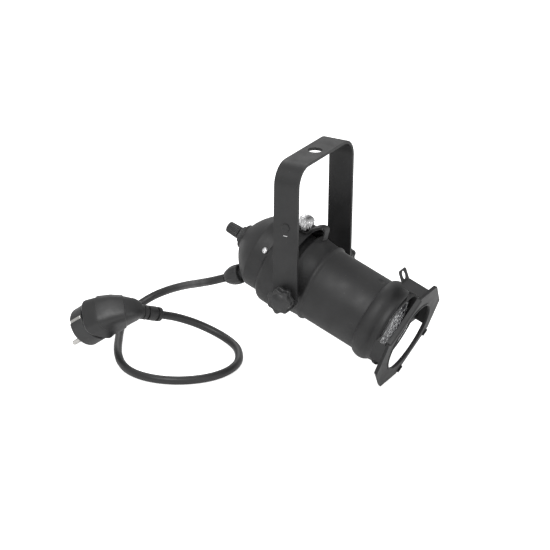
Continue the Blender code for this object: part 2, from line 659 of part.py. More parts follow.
def add_plug(barrel, materials):
    """Round contact body, a grip that bends over to the lead, two pins and a ribbed strain relief."""
    place = barrel_placement().inverted() @ plug_placement()
    body = ((-17.0, 0.0), (-17.0, 18.8), (-16.4, 19.6), (-1.2, 19.6), (-0.3, 19.0), (0.0, 18.2),
            (0.0, 0.0))
    contact = add("plug_contact_body", turned(body, 36), materials["black_plastic"], barrel, place)
    for side in (-1.0, 1.0):
        low, high = sorted((side * 16.6, side * 22.0))
        combine(contact, "DIFFERENCE", block((low, -3.6, -13.4), (high, 3.6, 3.0)), place)
        low, high = sorted((side * 17.0, side * 18.6))
        name = "earth_contact_rear" if side > 0 else "earth_contact_front"
        add(name, block((low, -3.0, -13.0), (high, 3.0, -0.4)), materials["nickel"], barrel, place)
    sections = [grip_section(*row) for row in (
        (-17.3, 0.0, 0.0, 18.2, 18.0), (-19.4, 0.0, 0.0, 19.2, 19.0), (-29.0, 1.5, 10.0, 17.6, 17.2),
        (-38.0, 6.0, 28.0, 15.4, 15.2), (-45.0, 13.0, 48.0, 13.0, 13.0),
        (-49.3, 19.6, 68.0, 10.6, 10.6), (-50.5, 24.6, RELIEF_TURN, 8.6, 8.6))]
    add("plug_grip", lofted(sections), materials["black_plastic"], barrel, place)
    for name, height in (("plug_pin_low", -9.5), ("plug_pin_high", 9.5)):
        pin = ((GAP, 0.0), (GAP, 2.4), (17.0, 2.4), (18.4, 1.9), (19.0, 1.0), (19.0, 0.0))
        add(name, turned(pin, 16), materials["nickel"], barrel,
            place @ Matrix.Translation((0.0, height * MM, 0.0)))
    start = Vector((RELIEF_START[1], 0.0, RELIEF_START[0]))
    relief_place = place @ facing(start, (math.sin(math.radians(RELIEF_TURN)), 0.0,
                                          -math.cos(math.radians(RELIEF_TURN))))
    profile = [(0.0, 0.0), (0.0, 7.4)]
    for rib in range(3):
        low = 4.0 + 6.4 * rib
        radius = 7.2 - 0.35 * rib
        profile += [(low, radius), (low + 0.1, radius - 1.6), (low + 1.9, radius - 1.6),
                    (low + 2.0, radius - 0.1)]
    profile += [(RELIEF_LENGTH - 0.8, 6.2), (RELIEF_LENGTH, 5.2), (RELIEF_LENGTH, 0.0)]
    add("plug_strain_relief", turned(profile, 20), materials["black_rubber"], barrel, relief_place)


def add_mains_cord(barrel, materials):
    """The lead from the gland to the plug; it belongs to the barrel, which the gland is on."""
    to_barrel = barrel_placement().inverted()
    points = [to_barrel @ (point * MM) / MM for point in smooth_route(CORD_ROUTE, 14.0)]
    add_cable("mains_cord", points, CORD_RADIUS, materials["black_rubber"], barrel)


def barrel_placement():
    """The pivot, turned so that +Z runs forward along the dipping barrel and +Y up from it."""
    return (Matrix.Translation((0.0, 0.0, -PIVOT_DROP * MM))
            @ Matrix.Rotation(math.radians(90.0 + NOSE_DOWN), 4, "X"))


def main():
    clear_scene()
    materials = make_materials()
    barrel = bpy.data.objects.new("barrel_axis", None)
    bpy.context.collection.objects.link(barrel)
    barrel.matrix_world = barrel_placement()
    add_yoke(materials)
    add_yoke_rivet(materials)
    add_washers(materials)
    add_pivot_hardware(barrel, materials)
    add_barrel_tube(barrel, materials)
    add_front_ring(barrel, materials)
    add_rear_drum(barrel, materials)
    add_baffle_ring(barrel, materials)
    add_rear_cap(barrel, materials)
    add_cap_screws(barrel, materials)
    add_thumbscrew(barrel, materials)
    add_safety_loop(barrel, materials)
    add_filter_holder(barrel, materials)
    add_safety_eyelet(barrel, materials)
    add_filter_frame(barrel, materials)
    add_lamp(barrel, materials)
    add_focus_parts(barrel, materials)
    add_inner_wiring(barrel, materials)
    add_gland(barrel, materials)
    add_plug(barrel, materials)
    add_mains_cord(barrel, materials)


main()
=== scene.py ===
"""Looks for the par can light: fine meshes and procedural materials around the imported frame.

Lengths are in millimetres and turned into metres by the helpers. Pieces of the barrel are written
in the barrel's own frame, from the pivot: X across, Y upwards, Z forward along the barrel axis.
A station is a distance along that axis.
"""

import json
import math

import bmesh
import bpy
from mathutils import Matrix, Vector


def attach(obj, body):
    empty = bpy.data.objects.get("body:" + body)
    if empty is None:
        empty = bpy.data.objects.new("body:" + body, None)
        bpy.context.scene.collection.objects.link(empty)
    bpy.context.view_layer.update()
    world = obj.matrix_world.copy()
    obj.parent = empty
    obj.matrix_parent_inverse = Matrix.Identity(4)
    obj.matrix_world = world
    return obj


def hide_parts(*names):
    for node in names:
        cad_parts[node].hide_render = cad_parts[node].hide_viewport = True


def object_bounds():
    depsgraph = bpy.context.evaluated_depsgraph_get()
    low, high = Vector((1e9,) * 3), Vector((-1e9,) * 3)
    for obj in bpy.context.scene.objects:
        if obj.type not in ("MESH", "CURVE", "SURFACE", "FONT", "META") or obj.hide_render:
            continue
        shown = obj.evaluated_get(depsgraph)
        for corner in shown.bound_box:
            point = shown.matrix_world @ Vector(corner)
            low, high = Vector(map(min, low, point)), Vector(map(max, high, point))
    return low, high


MM = 0.001
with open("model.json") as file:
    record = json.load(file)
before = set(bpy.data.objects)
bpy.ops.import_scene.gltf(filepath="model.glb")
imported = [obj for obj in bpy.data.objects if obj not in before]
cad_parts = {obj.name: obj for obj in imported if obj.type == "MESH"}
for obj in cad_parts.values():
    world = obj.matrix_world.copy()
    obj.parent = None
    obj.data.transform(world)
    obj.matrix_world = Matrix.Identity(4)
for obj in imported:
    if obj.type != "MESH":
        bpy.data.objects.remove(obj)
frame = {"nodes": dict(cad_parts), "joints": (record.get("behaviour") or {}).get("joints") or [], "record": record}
CAD_LOW, CAD_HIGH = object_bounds()
JOINTS = {joint["name"]: joint for joint in frame["joints"]}
PIVOT = Vector(JOINTS["barrel_tilt"]["pos_m"])
FORWARD = -Vector(JOINTS["focus_slide"]["axis"]).normalized()
FLOOR_HEIGHT = CAD_LOW.z
FLOOR_GAP = 0.2 * MM             # keeps the floor clear of the lead that lies on it

# Yoke
BAR_WIDTH = 25.0
BAR_THICKNESS = 3.0
YOKE_WIDTH = 110.0
YOKE_BEND_RADIUS = 20.0
PIVOT_DROP = -PIVOT.z / MM
HANGING_HOLE_RADIUS = 6.9
RIVET_HEIGHT = 69.5
PIVOT_BORE_RADIUS = 4.3

# Barrel
TUBE_RADIUS = 36.4
DRUM_RADIUS = 44.0
CAP_RADIUS = 38.0
WALL = 1.0
CAP_SCREW_STATION = -42.6
CAP_SCREW_ANGLES = (150.0, 30.0, 270.0)
BOSS_FACE = -80.0
LOOP_ANGLE = 97.0
THUMB_STATION = -24.0
THUMB_HOLE_RADIUS = 2.9
LOOP_LEAN = 16.0                # how far the safety strap leans over on its way forward
LAMP_RIM = 86.5

# Colour-frame holder
OPENING_RADIUS = 34.2
HOLDER_CORNER = 49.5
HOLDER_HALF_P = 50.0
HOLDER_HALF_Q = 44.5
FRAME_HALF_P = 50.5
FRAME_HALF_Q = 42.7
SHEET = 1.0

# Mains lead and plug
CORD_RADIUS = 4.0
ON_FLOOR = -209.4
GLAND_TIP = Vector((-15.0, 86.7, -141.2))
GLAND_DIRECTION = Vector((-0.10, 0.905, -0.40)).normalized()
GLAND_LENGTH = 20.0
CORD_ROUTE = (
    (-15.0, 86.9, -141.4), (-14.1, 102.6, -148.5), (-7.3, 117.1, -155.9), (1.3, 130.6, -163.3),
    (9.7, 144.3, -170.6), (16.5, 158.7, -178.3), (19.0, 174.1, -186.3), (13.9, 188.7, -194.4),
    (1.6, 198.5, -202.1), (-14.8, 200.7, -207.4), (-31.7, 196.0, ON_FLOOR + 0.3),
    (-47.5, 188.2, ON_FLOOR), (-62.8, 179.5, ON_FLOOR), (-78.0, 170.5, ON_FLOOR),
    (-92.5, 160.4, ON_FLOOR), (-105.8, 148.2, ON_FLOOR), (-115.9, 133.4, ON_FLOOR),
    (-120.2, 116.0, ON_FLOOR), (-118.4, 98.0, ON_FLOOR), (-111.5, 81.3, ON_FLOOR),
    (-100.3, 67.2, ON_FLOOR), (-85.8, 56.8, ON_FLOOR), (-68.7, 51.6, ON_FLOOR),
    (-50.8, 52.7, ON_FLOOR), (-34.5, 60.2, ON_FLOOR), (-20.8, 71.8, -208.6),
    (-13.6, 87.9, -205.9), (-13.7, 105.0, -200.8), (-20.1, 120.4, -194.1),
    (-31.6, 132.3, -187.1), (-41.2, 138.6, -182.8), (-46.3, 141.6, -180.7),
)
PLUG_FACE = Vector((-87.3, 202.2, -191.8))
PIN_DIRECTION = Vector((0.0, 0.79, -0.61)).normalized()
PLUG_LEAD_SIDE = Vector((0.822, -0.346, -0.448)).normalized()
RELIEF_START = (-50.6, 25.2)
RELIEF_TURN = 80.0
RELIEF_LENGTH = 24.6


# ---------------------------------------------------------------- placements and shapes

def columns(x_axis, y_axis, z_axis, origin):
    """A placement in metres whose axes point along the three given ones."""
    turn = Matrix((x_axis, y_axis, z_axis)).transposed().to_4x4()
    return Matrix.Translation(origin) @ turn


ACROSS = Vector((1.0, 0.0, 0.0))
BARREL = columns(ACROSS, FORWARD.cross(ACROSS), FORWARD, PIVOT)
DIAGONAL = BARREL @ Matrix.Rotation(math.radians(45.0), 4, "Z")


def polar(radius, angle):
    """The point at radius and angle, in degrees, from the origin."""
    return (radius * math.cos(math.radians(angle)), radius * math.sin(math.radians(angle)))


def facing(point, direction):
    """A placement at point, in millimetres, whose +Z looks along direction."""
    turn = Vector(direction).to_track_quat("Z", "Y").to_matrix().to_4x4()
    return Matrix.Translation(Vector(point) * MM) @ turn


def radial(angle, station):
    """On the barrel axis, +Z outwards at angle and +Y forward."""
    outwards = Vector((*polar(1.0, angle), 0.0))
    forward = Vector((0.0, 0.0, 1.0))
    return BARREL @ columns(forward.cross(outwards), forward, outwards, (0.0, 0.0, station * MM))


def new_shape(points, faces):
    shape = bmesh.new()
    corners = [shape.verts.new(Vector(point) * MM) for point in points]
    for face in faces:
        shape.faces.new([corners[number] for number in face])
    bmesh.ops.recalc_face_normals(shape, faces=shape.faces)
    return shape


def lofted(sections):
    """A closed skin over sections of equally many points, capped at both ends."""
    count = len(sections[0])
    points = [point for section in sections for point in section]
    faces = []
    for level in range(len(sections) - 1):
        for corner in range(count):
            following = (corner + 1) % count
            low = level * count
            high = low + count
            faces.append((low + corner, low + following, high + following, high + corner))
    faces.append(tuple(range(count)))
    faces.append(tuple(range(len(points) - count, len(points))))
    return new_shape(points, faces)


def prism(outline, low, high):
    return lofted([[(x, y, z) for x, y in outline] for z in (low, high)])


def block(low, high):
    outline = ((low[0], low[1]), (high[0], low[1]), (high[0], high[1]), (low[0], high[1]))
    return prism(outline, low[2], high[2])


def turned(profile, segments=128):
    """A solid of revolution about Z from (station, radius) points."""
    shape = bmesh.new()
    corners = [shape.verts.new((radius * MM, 0.0, station * MM)) for station, radius in profile]
    edges = [shape.edges.new(pair) for pair in zip(corners, corners[1:])]
    if profile[0][1] > 0 or profile[-1][1] > 0:
        edges.append(shape.edges.new((corners[-1], corners[0])))
    bmesh.ops.spin(shape, geom=corners + edges, axis=(0, 0, 1), cent=(0, 0, 0),
                   steps=segments, angle=2 * math.pi)
    bmesh.ops.remove_doubles(shape, verts=shape.verts, dist=1e-6)
    bmesh.ops.recalc_face_normals(shape, faces=shape.faces)
    return shape


def ring(low, high, outer, inner, segments=96):
    return turned(((low, inner), (low, outer), (high, outer), (high, inner)), segments)


def rod(low, high, radius, segments=64):
    return turned(((low, 0.0), (low, radius), (high, radius), (high, 0.0)), segments)


def regular(sides, radius):
    return [polar(radius, 360.0 * side / sides) for side in range(sides)]


def lobed(lobes, mean, depth, steps, sharpness=1.0):
    """A closed outline whose radius swings in and out once for each lobe.

    A sharpness under 1 makes the lobes squarer.
    """
    outline = []
    for step in range(lobes * steps):
        angle = 360.0 * step / (lobes * steps)
        swing = math.cos(math.radians(lobes * angle))
        swing = math.copysign(abs(swing) ** sharpness, swing)
        outline.append(polar(mean + depth * swing, angle))
    return outline


def scaled_stack(outline, levels):
    return lofted([[(x * scale, y * scale, z) for x, y in outline] for z, scale in levels])


def arc_points(start, end, sagitta, count):
    """Points on a shallow arc from start to end that bulges to the left by sagitta."""
    first = Vector(start)
    chord = Vector(end) - first
    left = Vector((-chord.y, chord.x)).normalized()
    points = []
    for step in range(count + 1):
        share = step / count
        points.append(tuple(first + chord * share + left * 4 * sagitta * share * (1 - share)))
    return points


def smooth_route(route, spacing):
    """Evenly spaced points on a smooth curve through the route's points."""
    fine_steps = 20
    points = [Vector(point) for point in route]
    points = [2 * points[0] - points[1], *points, 2 * points[-1] - points[-2]]
    dense = []
    for number in range(1, len(points) - 2):
        before, start, end, after = points[number - 1:number + 3]
        for step in range(fine_steps):
            t = step / fine_steps
            dense.append(0.5 * (2 * start + (end - before) * t
                                + (2 * before - 5 * start + 4 * end - after) * t ** 2
                                + (3 * start - before - 3 * end + after) * t ** 3))
    dense.append(points[-2])
    lengths = [0.0]
    for first, second in zip(dense, dense[1:]):
        lengths.append(lengths[-1] + (second - first).length)
    count = round(lengths[-1] / spacing)
    even = []
    number = 0
    for step in range(count + 1):
        target = lengths[-1] * step / count
        while number < len(dense) - 2 and lengths[number + 1] < target:
            number += 1
        share = (target - lengths[number]) / (lengths[number + 1] - lengths[number])
        even.append(dense[number].lerp(dense[number + 1], min(share, 1.0)))
    return even


def bent_strip(path, half_width, thickness, bend=1.6):
    """A strip of sheet along (y, z) corners, each corner rounded, centred on x = 0."""
    bend_steps = 5
    rounded = [Vector(path[0])]
    for before, corner, after in zip(path, path[1:], path[2:]):
        corner = Vector(corner)
        start = corner + (Vector(before) - corner).normalized() * bend
        end = corner + (Vector(after) - corner).normalized() * bend
        for step in range(bend_steps + 1):
            t = step / bend_steps
            rounded.append(start * (1 - t) ** 2 + corner * 2 * t * (1 - t) + end * t ** 2)
    rounded.append(Vector(path[-1]))
    sections = []
    for number, point in enumerate(rounded):
        before = rounded[max(number - 1, 0)]
        after = rounded[min(number + 1, len(rounded) - 1)]
        along = (after - before).normalized()
        rise = Vector((-along.y, along.x)) * thickness / 2
        top = point + rise
        bottom = point - rise
        sections.append([(-half_width, *top), (half_width, *top),
                         (half_width, *bottom), (-half_width, *bottom)])
    return lofted(sections)


# ---------------------------------------------------------------- making pieces

def link(name, shape, place):
    mesh = bpy.data.meshes.new(name)
    shape.to_mesh(mesh)
    shape.free()
    made = bpy.data.objects.new(name, mesh)
    bpy.context.scene.collection.objects.link(made)
    made.matrix_world = place
    return made


def bake(made):
    """Puts the modifiers' result in the mesh."""
    bpy.context.view_layer.update()
    evaluated = made.evaluated_get(bpy.context.evaluated_depsgraph_get())
    mesh = bpy.data.meshes.new_from_object(evaluated)
    made.modifiers.clear()
    made.data = mesh


def piece(name, shape, material, body, stands_for=(), place=BARREL, cuts=(), joins=(),
          bevel=0.25, sharp=30.0):
    """One visible piece: cut, joined, its edges rounded, riding on a body."""
    made = link(name, shape, place)
    helpers = []
    for operation, others in (("UNION", joins), ("DIFFERENCE", cuts)):
        for other, other_place in others:
            helper = link(name + "_helper", other, other_place)
            helpers.append(helper)
            modifier = made.modifiers.new("shape", "BOOLEAN")
            modifier.operation = operation
            modifier.solver = "EXACT"
            modifier.object = helper
    if helpers:
        bake(made)
    for helper in helpers:
        bpy.data.objects.remove(helper)
    made.data.shade_smooth()
    made.data.set_sharp_from_angle(angle=math.radians(sharp))
    if bevel:
        modifier = made.modifiers.new("edges", "BEVEL")
        modifier.width = bevel * MM
        modifier.segments = 3
        modifier.limit_method = "ANGLE"
        modifier.angle_limit = math.radians(sharp)
        modifier.harden_normals = True
        bake(made)
    made.data.materials.clear()
    made.data.materials.append(material)
    made.data.transform(made.matrix_world)
    made.matrix_world = Matrix.Identity(4)
    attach(made, body)
    if stands_for:
        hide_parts(*stands_for)
    return made


# ---------------------------------------------------------------- materials

class Nodes:
    """A material's node tree, with short calls for the nodes used here."""

    def __init__(self, name):
        self.material = bpy.data.materials.new(name)
        self.material.use_nodes = True
        self.tree = self.material.node_tree
        self.shader = self.tree.nodes["Principled BSDF"]
        self.place = self.tree.nodes.new("ShaderNodeTexCoord").outputs["Object"]

    def join(self, output, target):
        self.tree.links.new(output, target)

    def noise(self, scale, detail=3.0, stretch=(1.0, 1.0, 1.0)):
        mapping = self.tree.nodes.new("ShaderNodeMapping")
        mapping.inputs["Scale"].default_value = stretch
        self.join(self.place, mapping.inputs["Vector"])
        node = self.tree.nodes.new("ShaderNodeTexNoise")
        node.inputs["Scale"].default_value = scale
        node.inputs["Detail"].default_value = detail
        self.join(mapping.outputs["Vector"], node.inputs["Vector"])
        return node.outputs["Fac"]

    def cells(self, scale):
        node = self.tree.nodes.new("ShaderNodeTexVoronoi")
        node.inputs["Scale"].default_value = scale
        self.join(self.place, node.inputs["Vector"])
        return node.outputs["Distance"]

    def spread(self, value, from_low, from_high, low, high):
        node = self.tree.nodes.new("ShaderNodeMapRange")
        for name, number in (("From Min", from_low), ("From Max", from_high),
                             ("To Min", low), ("To Max", high)):
            node.inputs[name].default_value = number
        self.join(value, node.inputs["Value"])
        return node.outputs["Result"]

    def blended(self, share, first, second):
        """The first colour where share is 0 and the second where it is 1."""
        share_socket, colour_a, colour_b, colour_result = 0, 6, 7, 2
        node = self.tree.nodes.new("ShaderNodeMix")
        node.data_type = "RGBA"
        for number, colour in ((colour_a, first), (colour_b, second)):
            if isinstance(colour, tuple):
                node.inputs[number].default_value = (*colour, 1.0)
            else:
                self.join(colour, node.inputs[number])
        self.join(share, node.inputs[share_socket])
        return node.outputs[colour_result]

    def edges(self):
        """0 on flat surfaces and 1 on rounded-over edges."""
        rounded = self.tree.nodes.new("ShaderNodeBevel")
        rounded.samples = 4
        rounded.inputs["Radius"].default_value = 0.6 * MM
        geometry = self.tree.nodes.new("ShaderNodeNewGeometry")
        match = self.tree.nodes.new("ShaderNodeVectorMath")
        match.operation = "DOT_PRODUCT"
        self.join(rounded.outputs["Normal"], match.inputs[0])
        self.join(geometry.outputs["Normal"], match.inputs[1])
        return self.spread(match.outputs["Value"], 0.99, 0.85, 0.0, 1.0)

    def bump(self, height, strength, depth, under=None):
        node = self.tree.nodes.new("ShaderNodeBump")
        node.inputs["Strength"].default_value = strength
        node.inputs["Distance"].default_value = depth * MM
        self.join(height, node.inputs["Height"])
        if under is not None:
            self.join(under, node.inputs["Normal"])
        return node.outputs["Normal"]

    def finish(self, colour, roughness, normal, metallic=0.0):
        self.join(colour, self.shader.inputs["Base Color"])
        self.join(roughness, self.shader.inputs["Roughness"])
        self.join(normal, self.shader.inputs["Normal"])
        self.shader.inputs["Metallic"].default_value = metallic
        return self.material


def black_paint():
    """Satin powder coat: fine orange peel, faint handling marks, edges rubbed a little lighter."""
    nodes = Nodes("black_paint")
    broad = nodes.noise(38.0, 4.0)
    colour = nodes.blended(nodes.spread(broad, 0.35, 0.65, 0.0, 1.0), (0.0115, 0.0115, 0.012),
                           (0.016, 0.016, 0.0165))
    dust = nodes.spread(nodes.noise(420.0, 2.0), 0.70, 0.76, 0.0, 0.35)
    colour = nodes.blended(dust, colour, (0.055, 0.054, 0.053))
    colour = nodes.blended(nodes.edges(), colour, (0.034, 0.034, 0.035))
    roughness = nodes.spread(nodes.noise(70.0, 5.0), 0.3, 0.7, 0.46, 0.60)
    peel = nodes.bump(nodes.noise(620.0, 2.0), 0.30, 0.10)
    normal = nodes.bump(nodes.noise(1900.0, 2.0), 0.22, 0.05, peel)
    return nodes.finish(colour, roughness, normal)


def black_plastic():
    """Moulded plastic with a soft spark-eroded grain."""
    nodes = Nodes("black_plastic")
    colour = nodes.blended(nodes.noise(55.0, 3.0), (0.016, 0.016, 0.0165), (0.025, 0.025, 0.0255))
    colour = nodes.blended(nodes.edges(), colour, (0.036, 0.036, 0.037))
    roughness = nodes.spread(nodes.noise(130.0, 4.0), 0.3, 0.7, 0.32, 0.46)
    normal = nodes.bump(nodes.noise(1500.0, 2.0), 0.20, 0.05)
    return nodes.finish(colour, roughness, normal)


def black_rubber():
    """Cable sheath: nearly smooth, with faint drawn lines and a dull bloom."""
    nodes = Nodes("black_rubber")
    colour = nodes.blended(nodes.noise(45.0, 4.0), (0.013, 0.013, 0.0135), (0.022, 0.022, 0.0225))
    roughness = nodes.spread(nodes.noise(90.0, 4.0), 0.3, 0.7, 0.36, 0.54)
    normal = nodes.bump(nodes.noise(900.0, 3.0), 0.16, 0.05)
    return nodes.finish(colour, roughness, normal)


def bright_metal(name, first, second, low, high, stretch):
    """Plated metal with drawn scratches and uneven sheen."""
    nodes = Nodes(name)
    scratches = nodes.noise(260.0, 4.0, stretch)
    colour = nodes.blended(nodes.noise(150.0, 4.0), first, second)
    roughness = nodes.spread(scratches, 0.3, 0.7, low, high)
    normal = nodes.bump(scratches, 0.18, 0.03)
    return nodes.finish(colour, roughness, normal, 1.0)


def white_ceramic():
    nodes = Nodes("white_ceramic")
    colour = nodes.blended(nodes.noise(80.0, 4.0), (0.78, 0.75, 0.70), (0.84, 0.82, 0.79))
    roughness = nodes.spread(nodes.noise(160.0, 3.0), 0.3, 0.7, 0.22, 0.40)
    return nodes.finish(colour, roughness, nodes.bump(nodes.noise(500.0), 0.15, 0.05))


def silvered_glass():
    """Pressed reflector with shallow facets."""
    nodes = Nodes("silvered_glass")
    colour = nodes.blended(nodes.noise(60.0), (0.78, 0.78, 0.80), (0.88, 0.88, 0.90))
    roughness = nodes.spread(nodes.noise(90.0), 0.3, 0.7, 0.08, 0.18)
    return nodes.finish(colour, roughness, nodes.bump(nodes.cells(260.0), 0.45, 0.5), 1.0)


def lens_glass():
    """Front glass with a pressed stipple; its colour is painted in near-white and near-black speckles over the
    stipple cells: painted glints and painted shade.
    """
    nodes = Nodes("lens_glass")
    stipple = nodes.cells(300.0)
    # painted glints and painted shade: near-white and near-black speckles laid out by the stipple cells
    colour = nodes.blended(nodes.spread(stipple, 0.30, 0.48, 0.0, 1.0), (0.95, 0.96, 0.97),
                           (0.10, 0.10, 0.11))
    roughness = nodes.spread(nodes.noise(90.0), 0.3, 0.7, 0.06, 0.16)
    material = nodes.finish(colour, roughness, nodes.bump(stipple, 0.8, 1.0))
    nodes.shader.inputs["Transmission Weight"].default_value = 0.35
    nodes.shader.inputs["IOR"].default_value = 1.5
    return material


def wire_sleeve(name, first, second, stripe):
    nodes = Nodes(name)
    share = nodes.noise(stripe, 1.0)
    colour = nodes.blended(nodes.spread(share, 0.45, 0.55, 0.0, 1.0), first, second)
    roughness = nodes.spread(nodes.noise(200.0), 0.3, 0.7, 0.35, 0.50)
    return nodes.finish(colour, roughness, nodes.bump(nodes.noise(900.0), 0.15, 0.04))


def make_materials():
    made = [
        black_paint(), black_plastic(), black_rubber(), white_ceramic(), silvered_glass(),
        lens_glass(),
        bright_metal("bright_steel", (0.60, 0.60, 0.61), (0.74, 0.74, 0.74), 0.20, 0.40,
                     (1.0, 1.0, 6.0)),
        bright_metal("nickel", (0.52, 0.51, 0.49), (0.64, 0.63, 0.61), 0.14, 0.30,
                     (1.0, 1.0, 5.0)),
        bright_metal("brass", (0.66, 0.49, 0.22), (0.78, 0.60, 0.31), 0.22, 0.42,
                     (5.0, 1.0, 1.0)),
        wire_sleeve("lead_blue", (0.04, 0.10, 0.40), (0.06, 0.14, 0.50), 60.0),
        wire_sleeve("lead_brown", (0.19, 0.085, 0.035), (0.26, 0.12, 0.05), 60.0),
        wire_sleeve("lead_earth", (0.10, 0.35, 0.06), (0.70, 0.62, 0.06), 190.0),
    ]
    return {material.name: material for material in made}


def free_material_names():
    """The imported model's own materials step aside, so that these keep their plain names."""
    for material in bpy.data.materials:
        material.name = "packed_" + material.name


# ---------------------------------------------------------------- camera, light, floor

def add_camera():
    camera = bpy.data.objects.new("camera", bpy.data.cameras.new("camera"))
    bpy.context.scene.collection.objects.link(camera)
    right = Vector((0.48976, -0.87179, 0.01033))
    upwards = Vector((0.33555, 0.19941, 0.92068))
    backwards = Vector((-0.80470, -0.44745, 0.39019))
    camera.matrix_world = columns(right, upwards, backwards, Vector((-1.59534, -0.84621, 0.63943)))
    camera.data.sensor_width = 36.0
    camera.data.lens = 135.8
    camera.data.clip_end = 50.0
    bpy.context.scene.camera = camera


def add_area_light(name, place, target, size, power):
    light = bpy.data.lights.new(name, "AREA")
    light.shape = "SQUARE"
    light.size = size
    light.energy = power
    lamp = bpy.data.objects.new(name, light)
    bpy.context.scene.collection.objects.link(lamp)
    direction = Vector(target) - Vector(place)
    turn = direction.to_track_quat("-Z", "Y").to_matrix().to_4x4()
    lamp.matrix_world = Matrix.Translation(place) @ turn


def add_studio():
    world = bpy.data.worlds.new("studio")
    world.use_nodes = True
    background = world.node_tree.nodes["Background"]
    background.inputs["Color"].default_value = (1.0, 1.0, 1.0, 1.0)
    background.inputs["Strength"].default_value = 0.62
    bpy.context.scene.world = world
    bpy.context.scene.view_settings.view_transform = "Standard"
    middle = (0.0, 0.03, -0.12)
    add_area_light("key_light", (-1.3, -0.2, 1.5), middle, 1.2, 22.0)
    add_area_light("fill_light", (-0.6, -1.9, 0.6), middle, 1.4, 5.0)
    add_area_light("rim_light", (1.2, 1.0, 1.3), middle, 1.0, 7.0)


def add_floor():
    """A plain floor, near white to the eye while it lights the object only softly."""
    half = 6000.0
    corners = [(-half, -half, 0), (half, -half, 0), (half, half, 0), (-half, half, 0)]
    floor = link("floor", new_shape(corners, [(0, 1, 2, 3)]),
                 Matrix.Translation((0.0, 0.0, FLOOR_HEIGHT - FLOOR_GAP)))
    nodes = Nodes("studio_floor")
    colour = nodes.blended(nodes.noise(3.0), (0.93, 0.93, 0.93), (0.95, 0.95, 0.95))
    roughness = nodes.spread(nodes.noise(5.0), 0.3, 0.7, 0.70, 0.80)
    material = nodes.finish(colour, roughness, nodes.bump(nodes.noise(40.0), 0.02, 0.1))
    seen = nodes.tree.nodes.new("ShaderNodeLightPath").outputs["Is Camera Ray"]
    nodes.join(nodes.spread(seen, 0.0, 1.0, 0.15, 0.8), nodes.shader.inputs["Emission Strength"])
    nodes.shader.inputs["Emission Color"].default_value = (1.0, 1.0, 1.0, 1.0)
    floor.data.materials.append(material)


# ---------------------------------------------------------------- mains lead and plug

def plug_placement():
    across = PIN_DIRECTION.cross(PLUG_LEAD_SIDE)
    return columns(PLUG_LEAD_SIDE, across, PIN_DIRECTION, PLUG_FACE * MM)


def grip_section(station, across, turn, half_width, half_height):
    """One squarish section of the grip, square to its bending centre line."""
    corners = 48
    squareness = 0.56
    section = []
    for cosine, sine in regular(corners, 1.0):
        side = half_width * math.copysign(abs(cosine) ** squareness, cosine)
        height = half_height * math.copysign(abs(sine) ** squareness, sine)
        back, over = polar(side, turn)
        section.append((across + back, height, station + over))
    return section


def add_plug(materials):
    """Contact body with an earth clip in each side groove, grip, pins and ribbed relief."""
    place = plug_placement()
    body = ((-17.0, 0.0), (-17.0, 18.8), (-16.4, 19.6), (-1.2, 19.6), (-0.3, 19.0), (0.0, 18.2),
            (0.0, 0.0))
    grooves = []
    for side in (-1.0, 1.0):
        low, high = sorted((side * 16.6, side * 22.0))
        grooves.append((block((low, -1.9, -16.4), (high, 1.9, 3.0)), place))
    shown = [piece("plug_contact_shell", turned(body), materials["black_plastic"], "barrel",
                   ["plug_contact_body"], place, grooves, bevel=0.3)]
    for side, node in ((1.0, "earth_contact_rear"), (-1.0, "earth_contact_front")):
        path = [(-15.9, side * 17.4), (-14.8, side * 19.2), (-1.6, side * 19.3),
                (-0.2, side * 17.5)]
        clip = bent_strip(path, 1.5, 0.7, 1.0)
        turn = columns((0, 1, 0), (0, 0, 1), (1, 0, 0), (0, 0, 0))
        shown.append(piece(node + "_clip", clip, materials["nickel"], "barrel", [node],
                           place @ turn, bevel=0.12))
    rows = ((-17.3, 0.0, 0.0, 18.2, 18.0), (-19.4, 0.0, 0.0, 19.2, 19.0),
            (-29.0, 1.5, 10.0, 17.6, 17.2), (-38.0, 6.0, 28.0, 15.4, 15.2),
            (-45.0, 13.0, 48.0, 13.0, 13.0), (-49.3, 19.6, 68.0, 10.6, 10.6),
            (-50.5, 24.6, RELIEF_TURN, 8.6, 8.6))
    saddle = ((-30.5, 2.2, 13.0, 18.4, 18.0), (-38.4, 6.6, 30.0, 16.6, 16.2),
              (-44.4, 12.6, 47.0, 14.4, 14.0))
    parts = [(lofted([grip_section(*row) for row in saddle]), place)]
    shown.append(piece("plug_grip_shell", lofted([grip_section(*row) for row in rows]),
                       materials["black_plastic"], "barrel", ["plug_grip"], place, joins=parts,
                       bevel=0.4, sharp=24.0))
    for name, height in (("plug_pin_low", -9.5), ("plug_pin_high", 9.5)):
        pin = ((0.3, 0.0), (0.3, 2.4), (16.4, 2.4), (17.8, 2.1), (18.7, 1.4), (19.0, 0.6),
               (19.0, 0.0))
        shown.append(piece(name + "_turned", turned(pin, 48), materials["nickel"], "barrel",
                           [name], place @ Matrix.Translation((0.0, height * MM, 0.0)), bevel=0))
    start = Vector((RELIEF_START[1], 0.0, RELIEF_START[0]))
    along = (math.sin(math.radians(RELIEF_TURN)), 0.0, -math.cos(math.radians(RELIEF_TURN)))
    profile = [(0.0, 0.0), (0.0, 7.4)]
    for low, high in ((3.6, 4.5), (8.2, 10.2), (18.4, 20.6)):
        profile += [(low, 7.2), (low + 0.1, 5.3), (high - 0.1, 5.3), (high, 7.1)]
    profile += [(RELIEF_LENGTH - 0.5, 6.9), (RELIEF_LENGTH, 6.3), (RELIEF_LENGTH, 0.0)]
    shown.append(piece("plug_relief_ribbed", turned(profile, 64), materials["black_rubber"],
                       "barrel", ["plug_strain_relief"], place @ facing(start, along), bevel=0.3))
    return shown


